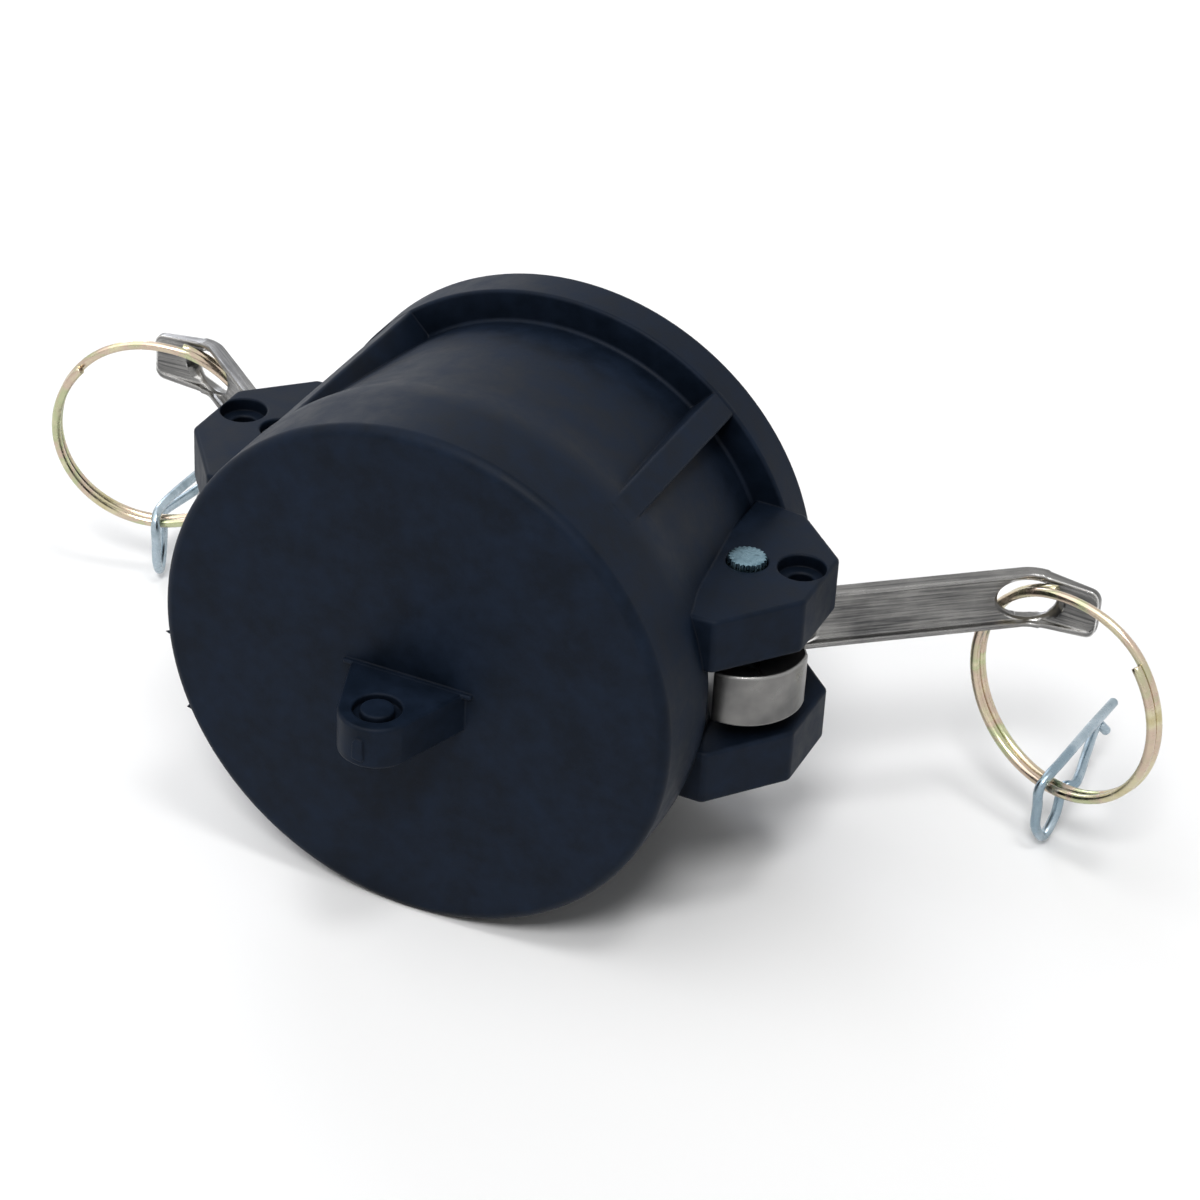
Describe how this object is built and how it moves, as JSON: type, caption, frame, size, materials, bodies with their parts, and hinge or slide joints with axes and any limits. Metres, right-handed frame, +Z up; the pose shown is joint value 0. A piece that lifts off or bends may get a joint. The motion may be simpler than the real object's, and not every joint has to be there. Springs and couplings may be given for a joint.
{
  "type": "camlock dust cap",
  "caption": "Moulded camlock dust cap with swinging cam arms on cross pins, split pull rings, safety clips and a sealing gasket.",
  "frame": {"origin": "middle of the bounding box's foot, on the ground under the cap as it lies on its side", "axes": "+Y along the cap's axis from the closed face to the mouth, +X to the right across the two arms, +Z up"},
  "size_m": [0.1896, 0.102, 0.0799],
  "materials": {
    "black_polypropylene": "satin moulded",
    "nitrile_rubber": "matt",
    "stainless_steel": "cast and tumbled",
    "yellow_zinc": "zinc plated, yellow passivated",
    "blue_zinc": "zinc plated, clear passivated"
  },
  "bodies": {
    "cap": {"cap_body": "black_polypropylene", "gasket": "nitrile_rubber", "cam_pin_left": "blue_zinc", "cam_pin_right": "blue_zinc"},
    "arm_left": {"cam_arm_left": "stainless_steel"},
    "ring_left": {"pull_ring_left": "yellow_zinc"},
    "clip_left": {"safety_clip_left": "blue_zinc"},
    "arm_right": {"cam_arm_right": "stainless_steel"},
    "ring_right": {"pull_ring_right": "yellow_zinc"},
    "clip_right": {"safety_clip_right": "blue_zinc"}
  },
  "joints": [
    {"name": "arm_left_pivot", "type": "hinge", "parent": "cap", "child": "arm_left", "pos_m": [-0.0379, -0.00575, 0.03995], "axis": [0, 0, 1], "range_deg": [0, 133]},
    {"name": "ring_left_swing", "type": "hinge", "parent": "arm_left", "child": "ring_left", "pos_m": [-0.06834, 0.02859, 0.04035], "axis": [-0.7198, -0.262, 0.6428], "range_deg": [-10, 20]},
    {"name": "clip_left_swing", "type": "hinge", "parent": "ring_left", "child": "clip_left", "pos_m": [-0.07836, 0.02494, 0.01103], "axis": [-0.9397, -0.342, 0], "range_deg": [-45, 30]},
    {"name": "arm_right_pivot", "type": "hinge", "parent": "cap", "child": "arm_right", "pos_m": [0.0379, -0.00575, 0.03995], "axis": [0, 0, 1], "range_deg": [-133, 0]},
    {"name": "ring_right_swing", "type": "hinge", "parent": "arm_right", "child": "ring_right", "pos_m": [0.06834, 0.02859, 0.04035], "axis": [0.7198, -0.262, 0.6428], "range_deg": [-20, 10]},
    {"name": "clip_right_swing", "type": "hinge", "parent": "ring_right", "child": "clip_right", "pos_m": [0.07836, 0.02494, 0.01103], "axis": [0.9397, -0.342, 0], "range_deg": [-30, 45]}
  ]
}
